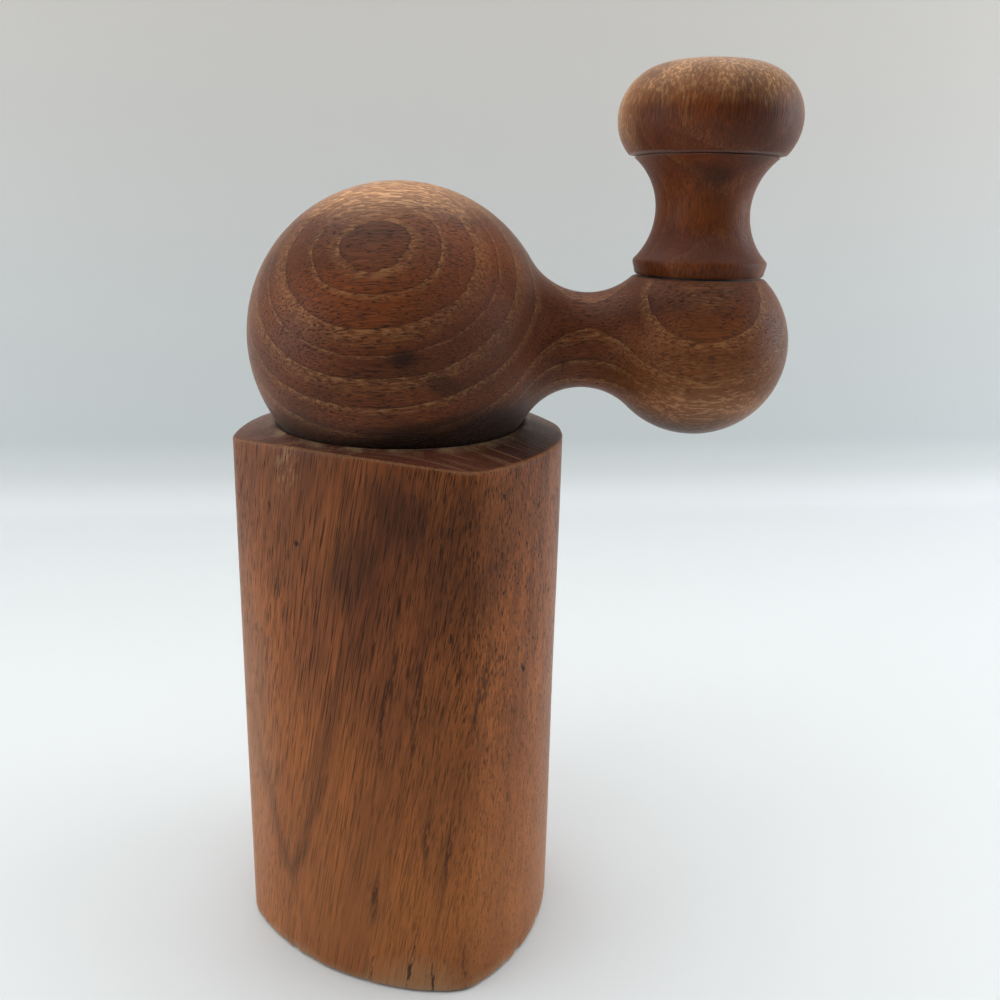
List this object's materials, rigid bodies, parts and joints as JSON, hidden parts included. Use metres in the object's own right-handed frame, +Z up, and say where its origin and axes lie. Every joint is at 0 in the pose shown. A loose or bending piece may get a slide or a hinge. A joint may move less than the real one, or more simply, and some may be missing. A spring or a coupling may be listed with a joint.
{
  "type": "hand crank pepper mill",
  "caption": "Teak pepper mill: a bowed block body with a ball crank head on its crown, a turned knob on the crank arm, a square drive shaft and a toothed steel burr at the base.",
  "frame": {"origin": "centre of the flat base, on the axis of the drive shaft", "axes": "+Z up along the drive shaft, +X along the long side of the block"},
  "size_m": [0.096, 0.0623, 0.166],
  "materials": {
    "teak_body": "oiled, worn satin",
    "teak_crank": "oiled, turned, satin",
    "teak_knob": "oiled, turned, satin",
    "burr_steel": "hardened, ground",
    "plate_steel": "stamped, plated",
    "shaft_steel": "cold drawn",
    "screw_steel": "zinc plated",
    "brass": "turned, dulled"
  },
  "bodies": {
    "mill_body": {"body_block": "teak_body", "grinding_ring": "burr_steel", "bottom_bridge": "plate_steel", "bridge_screws": "brass", "upper_bridge": "plate_steel"},
    "guide": {"guide_bush": "brass"},
    "drive": {"drive_shaft": "shaft_steel", "grinding_cone": "burr_steel", "cone_pin": "shaft_steel", "spring_washer": "brass", "return_spring": "shaft_steel"},
    "head": {"crank_head": "teak_crank", "drive_plate": "plate_steel", "drive_plate_screws": "brass", "knob_bush": "brass"},
    "knob": {"crank_knob": "teak_knob", "knob_screw": "screw_steel", "knob_washer": "screw_steel", "screw_washer": "screw_steel"},
    "thrust": {"thrust_ball": "shaft_steel"},
    "adjuster": {"adjusting_screw": "brass"}
  },
  "joints": [
    {"name": "crank_turn", "type": "hinge", "parent": "mill_body", "child": "guide", "pos_m": [0, 0, 0.042], "axis": [0, 0, 1], "continuous": true},
    {"name": "grind_lift", "type": "slide", "parent": "guide", "child": "drive", "axis": [0, 0, 1], "range_m": [0, 0.001], "deforming": ["return_spring"]},
    {"name": "head_lift", "type": "slide", "parent": "guide", "child": "head", "axis": [0, 0, 1], "range_m": [0, 0.05]},
    {"name": "knob_spin", "type": "hinge", "parent": "head", "child": "knob", "pos_m": [0.04964, 0.01856, 0.1302], "axis": [0, 0, 1], "continuous": true},
    {"name": "thrust_lift", "type": "slide", "parent": "mill_body", "child": "thrust", "axis": [0, 0, 1], "range_m": [0, 0.001]},
    {"name": "grind_adjust", "type": "hinge", "parent": "thrust", "child": "adjuster", "pos_m": [0, 0, 0.003], "axis": [0, 0, 1], "range_deg": [0, 450]}
  ],
  "couplings": [
    {"joint": "grind_adjust", "follows": "grind_lift", "rad_per_m": 7854},
    {"joint": "thrust_lift", "follows": "grind_lift", "ratio": 1}
  ]
}
